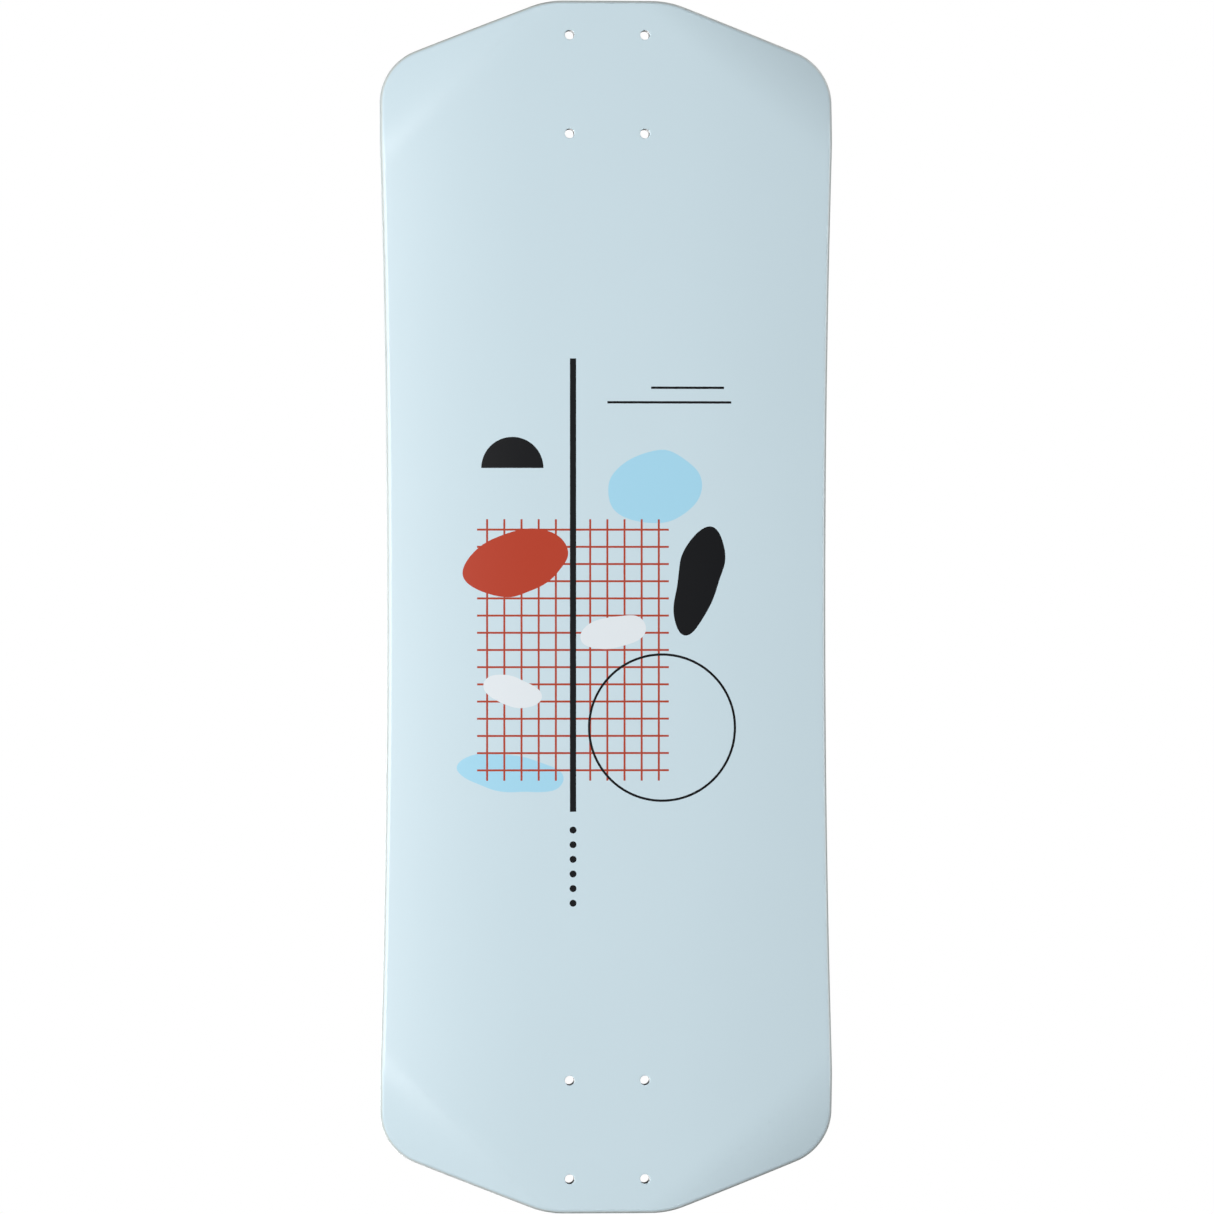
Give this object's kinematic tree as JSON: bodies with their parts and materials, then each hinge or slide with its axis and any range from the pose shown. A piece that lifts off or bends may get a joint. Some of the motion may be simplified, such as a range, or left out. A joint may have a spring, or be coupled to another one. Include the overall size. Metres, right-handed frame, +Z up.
{
  "type": "longboard skateboard deck",
  "caption": "Symmetrical longboard deck with cut-off ends, raised rails, flared corners, a glossy printed underside and a grip-taped top, drilled for standard trucks.",
  "frame": {"origin": "middle of the deck on the flat belly of the underside, which is where the bare deck rests", "axes": "+Z up out of the standing surface, +Y along the deck to the nose, +X across the deck to the rider's right when facing the nose"},
  "size_m": [0.248, 0.6636, 0.0234],
  "materials": {
    "printed_sheet": null,
    "fibre_laminate": "woven glass fibre in cured resin, sanded at the rim",
    "maple": "planed upright staves, unfinished inside the sandwich",
    "cast_urethane": "pale cast urethane, sanded to a satin roundover",
    "grip_sheet": "black silicon carbide grit on a backing sheet"
  },
  "bodies": {
    "root": {"bottom_sheet": "printed_sheet", "lower_fibre_skin": "fibre_laminate", "core_stave_01": "maple", "core_stave_02": "maple", "core_stave_03": "maple", "core_stave_04": "maple", "core_stave_05": "maple", "core_stave_06": "maple", "core_stave_07": "maple", "core_stave_08": "maple", "core_stave_09": "maple", "core_stave_10": "maple", "core_stave_11": "maple", "left_rail": "cast_urethane", "right_rail": "cast_urethane", "nose_block": "cast_urethane", "tail_block": "cast_urethane", "upper_fibre_skin": "fibre_laminate", "grip_tape": "grip_sheet"}
  },
  "joints": []
}
